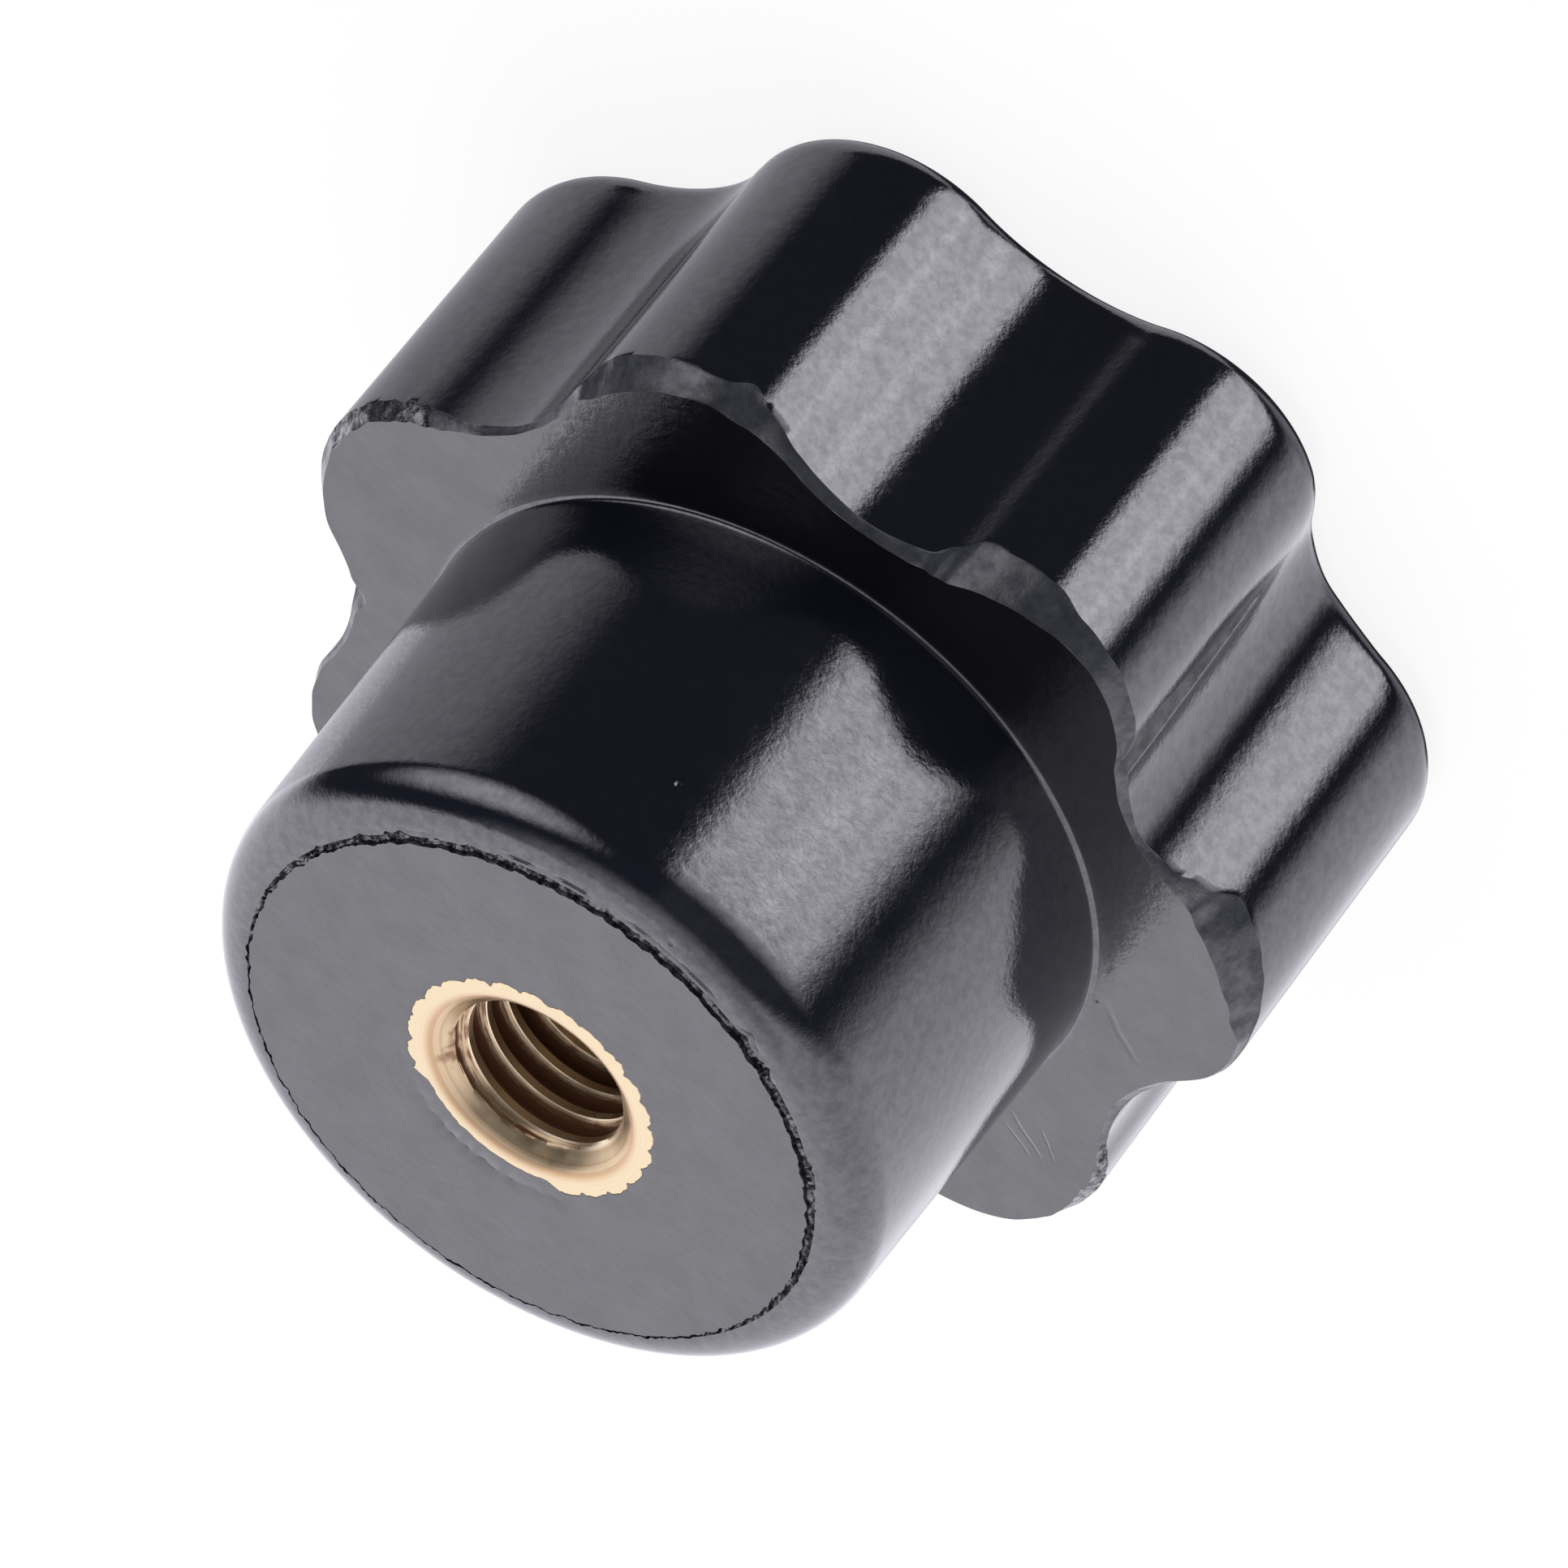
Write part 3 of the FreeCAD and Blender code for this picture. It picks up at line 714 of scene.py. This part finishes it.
def make_world():
    """White to the camera; in reflections, a studio of soft panels, as the real gloss shows."""
    world = bpy.data.worlds.new("studio")
    bpy.context.scene.world = world
    world.use_nodes = True
    world.cycles.sampling_method = "NONE"
    nodes = Nodes(world.node_tree)
    direction = nodes.add("ShaderNodeTexCoord").outputs["Generated"]
    parts = nodes.add("ShaderNodeSeparateXYZ", Vector=direction)
    elevation = nodes.math("DEGREES", nodes.math("ARCSINE", parts.outputs[2]))
    turn = nodes.math("DEGREES", nodes.math("ARCTAN2", parts.outputs[1], parts.outputs[0]))
    azimuth = nodes.math("FLOORED_MODULO", turn, 360.0)

    # white wall behind the knob, brightest a little to the right, with leaning edges
    right = nodes.range(nodes.math("MULTIPLY_ADD", elevation, 0.33, azimuth), 27.0, 45.0)
    left = nodes.range(nodes.math("MULTIPLY_ADD", elevation, -0.2, azimuth), 199.0, 225.0, 1.0, 0.0)
    wall = nodes.math("MULTIPLY", right, left)
    upper = nodes.range(elevation, -48.0, -40.0, 0.0, 22.0)
    shifted = nodes.math("SUBTRACT", nodes.math("ADD", azimuth, upper), 22.0)
    low_wall = nodes.math("MULTIPLY", nodes.range(shifted, 96.0, 118.0), left)
    low_wall = nodes.math("MULTIPLY", low_wall, nodes.range(elevation, -62.0, -42.0, 0.35, 0.9))
    wall = nodes.blend_value(nodes.range(elevation, -39.0, -30.0), low_wall, wall)
    toward = cosine_from(nodes, azimuth, 65.0)
    top = nodes.math("MULTIPLY_ADD", toward, 0.25, 0.7)
    high = nodes.blend_value(nodes.range(elevation, 55.0, 75.0), 1.0, top)
    wall = nodes.math("MULTIPLY", wall, high)
    wall = nodes.math("MULTIPLY", wall, nodes.math("MULTIPLY_ADD", toward, 0.38, 2.58))
    ceiling = nodes.range(elevation, 44.0, 85.0, 0.0, 1.75)
    white = nodes.math("MAXIMUM", wall, ceiling)

    # key lamp low on the camera's side
    across = nodes.math(
        "MULTIPLY", nodes.range(azimuth, 222.0, 236.0), nodes.range(azimuth, 275.0, 283.5, 1.0, 0.0)
    )
    above = nodes.range(elevation, -31.5, 2.0, 3.3, 0.2, smooth=False)
    main = nodes.range(elevation, -34.5, -30.0, 2.1, 0.0)
    below = nodes.range(elevation, -90.0, -45.0, 2.3, 5.5, smooth=False)
    bright = nodes.math("MINIMUM", nodes.math("ADD", above, main), below)
    key = nodes.math("MULTIPLY", across, bright)
    aside = nodes.math("ABSOLUTE", nodes.math("SUBTRACT", azimuth, 252.0))
    stripe = nodes.range(aside, 0.0, 6.0, 1.3, 0.0)
    stripe = nodes.math("MULTIPLY", stripe, nodes.range(elevation, -33.0, -29.0, 1.0, 0.0))
    spot = lamp_spot(nodes, direction)

    # dim band under the right-hand side
    low = nodes.range(cosine_from(nodes, azimuth, 50.0), 0.30, 0.80)
    far = nodes.math("MAXIMUM", nodes.range(shifted, 64.0, 50.0), nodes.range(upper, 2.0, 20.0))
    low = nodes.math("MULTIPLY", low, far)
    low = nodes.math("MULTIPLY", low, nodes.range(elevation, -29.0, -25.0, 1.15, 0.0))

    total = nodes.math("MAXIMUM", white, DARK_LEVEL)
    total = nodes.math("MAXIMUM", total, low)
    total = nodes.math("MAXIMUM", total, key)
    total = nodes.math("ADD", total, stripe)
    total = nodes.math("MAXIMUM", total, spot)
    level = nodes.math("MULTIPLY", total, PANEL_LEVEL)
    studio = nodes.add("ShaderNodeBackground", Color=(0.985, 0.968, 1.055, 1), Strength=level)
    plain = nodes.add("ShaderNodeBackground", Color=(1, 1, 1, 1), Strength=1.0)
    ambient = nodes.add("ShaderNodeBackground", Color=(1, 1, 1, 1), Strength=0.9)
    path = nodes.add("ShaderNodeLightPath")
    lit = nodes.add("ShaderNodeMixShader", i0=path.outputs["Is Glossy Ray"], i1=ambient, i2=studio)
    seen = nodes.add("ShaderNodeMixShader", i0=path.outputs["Is Camera Ray"], i1=lit, i2=plain)
    output = nodes.add("ShaderNodeOutputWorld")
    nodes.feed(output, "Surface", seen)


def cosine_from(nodes, azimuth, centre):
    """Cosine of the turn from a centre, both in degrees."""
    return nodes.math("COSINE", nodes.math("RADIANS", nodes.math("SUBTRACT", azimuth, centre)))


def lamp_spot(nodes, direction):
    """Second, oval soft lamp to the right of the camera, brightest at its middle."""
    azimuth, elevation, lean = (math.radians(angle) for angle in (-24.0, 8.0, -35.0))
    forward = Vector((
        math.cos(azimuth) * math.cos(elevation), math.sin(azimuth) * math.cos(elevation),
        math.sin(elevation),
    ))
    side = Vector((-math.sin(azimuth), math.cos(azimuth), 0))
    up = forward.cross(side)
    long_way = side * math.cos(lean) + up * math.sin(lean)
    short_way = up * math.cos(lean) - side * math.sin(lean)
    reach = nodes.math("MAXIMUM", dot_with(nodes, direction, forward), 0.01)
    away = 0.0
    for axis, half in ((long_way, 30.0), (short_way, 19.5)):
        offset = nodes.math("DIVIDE", dot_with(nodes, direction, axis), reach)
        share = nodes.math("DIVIDE", offset, math.tan(math.radians(half)))
        away = nodes.math("ADD", away, nodes.math("POWER", share, 2.0))
    return nodes.range(nodes.math("SQRT", away), 0.35, 1.6, 3.2, 0.0)


def dot_with(nodes, direction, axis):
    product = nodes.add("ShaderNodeVectorMath", {"operation": "DOT_PRODUCT"}, i0=direction, i1=axis)
    return product.outputs["Value"]


def make_floor():
    """Pale floor under the head. The camera sees it white, a little darker in the shadow."""
    reach = 1200 * MM
    gap_under_head = 0.02
    low = (-KNOB_HEIGHT - gap_under_head) * MM
    corners = [(-reach, -reach, low), (reach, -reach, low), (reach, reach, low), (-reach, reach, low)]
    mesh = bpy.data.meshes.new("floor")
    mesh.from_pydata(corners, [], [(0, 1, 2, 3)])
    floor = bpy.data.objects.new("floor", mesh)
    bpy.context.scene.collection.objects.link(floor)
    material = bpy.data.materials.new("floor_white")
    material.use_nodes = True
    nodes = Nodes(material.node_tree)
    paper = nodes.add("ShaderNodeBsdfDiffuse", Color=(0.86, 0.86, 0.86, 1))
    white = nodes.add("ShaderNodeEmission", Color=(1, 1, 1, 1), Strength=1.0)
    path = nodes.add("ShaderNodeLightPath")
    share = nodes.math("MULTIPLY", path.outputs["Is Camera Ray"], 0.88)
    seen = nodes.add("ShaderNodeMixShader", i0=share, i1=paper, i2=white)
    output = nodes.add("ShaderNodeOutputMaterial")
    nodes.feed(output, "Surface", seen)
    mesh.materials.append(material)
    # the gloss shows the panels below the floor's level, as for a knob that lies on its side
    floor.visible_glossy = False


def make_lamp():
    """Broad soft lamp above, which gives the floor its shadow and shows in no reflection."""
    data = bpy.data.lights.new("soft_lamp", "AREA")
    data.shape = "DISK"
    data.size = 220 * MM
    data.energy = 0.5
    lamp = bpy.data.objects.new("soft_lamp", data)
    lamp.location = Vector((-90, 60, 260)) * MM
    lamp.rotation_euler = (-lamp.location).to_track_quat("-Z", "Y").to_euler()
    lamp.visible_glossy = False
    bpy.context.scene.collection.objects.link(lamp)


# The camera's place, from matching the photograph's outlines to the part's sizes.
CAMERA_TARGET = (-0.214, -0.523, -10.293)
CAMERA_AZIMUTH = 3.649
CAMERA_ELEVATION = 35.298
CAMERA_ROLL = -141.724
CAMERA_DISTANCE = 521.3
CAMERA_LENS = 539.8
SENSOR_WIDTH = 36.0


def make_camera():
    data = bpy.data.cameras.new("camera")
    data.lens = CAMERA_LENS
    data.sensor_width = SENSOR_WIDTH
    data.clip_start = 10 * MM
    data.clip_end = 10000 * MM
    camera = bpy.data.objects.new("camera", data)
    bpy.context.scene.collection.objects.link(camera)
    azimuth = math.radians(CAMERA_AZIMUTH)
    elevation = math.radians(CAMERA_ELEVATION)
    back = Vector((
        math.sin(azimuth) * math.cos(elevation), -math.cos(azimuth) * math.cos(elevation),
        math.sin(elevation),
    ))
    camera.location = (Vector(CAMERA_TARGET) + back * CAMERA_DISTANCE) * MM
    level = (-back).to_track_quat("-Z", "Y")
    roll = Euler((0, 0, math.radians(CAMERA_ROLL))).to_quaternion()
    camera.rotation_mode = "QUATERNION"
    camera.rotation_quaternion = level @ roll
    bpy.context.scene.camera = camera


make_camera()
make_world()
make_floor()
make_lamp()
bpy.context.scene.view_settings.view_transform = "Standard"

body = make_body([gloss_material(), ground_material(), filed_material(), broken_material()])
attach(body, "root")
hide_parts("knob_body")

insert = make_insert([brass_material()])
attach(insert, "root")
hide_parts("threaded_insert")
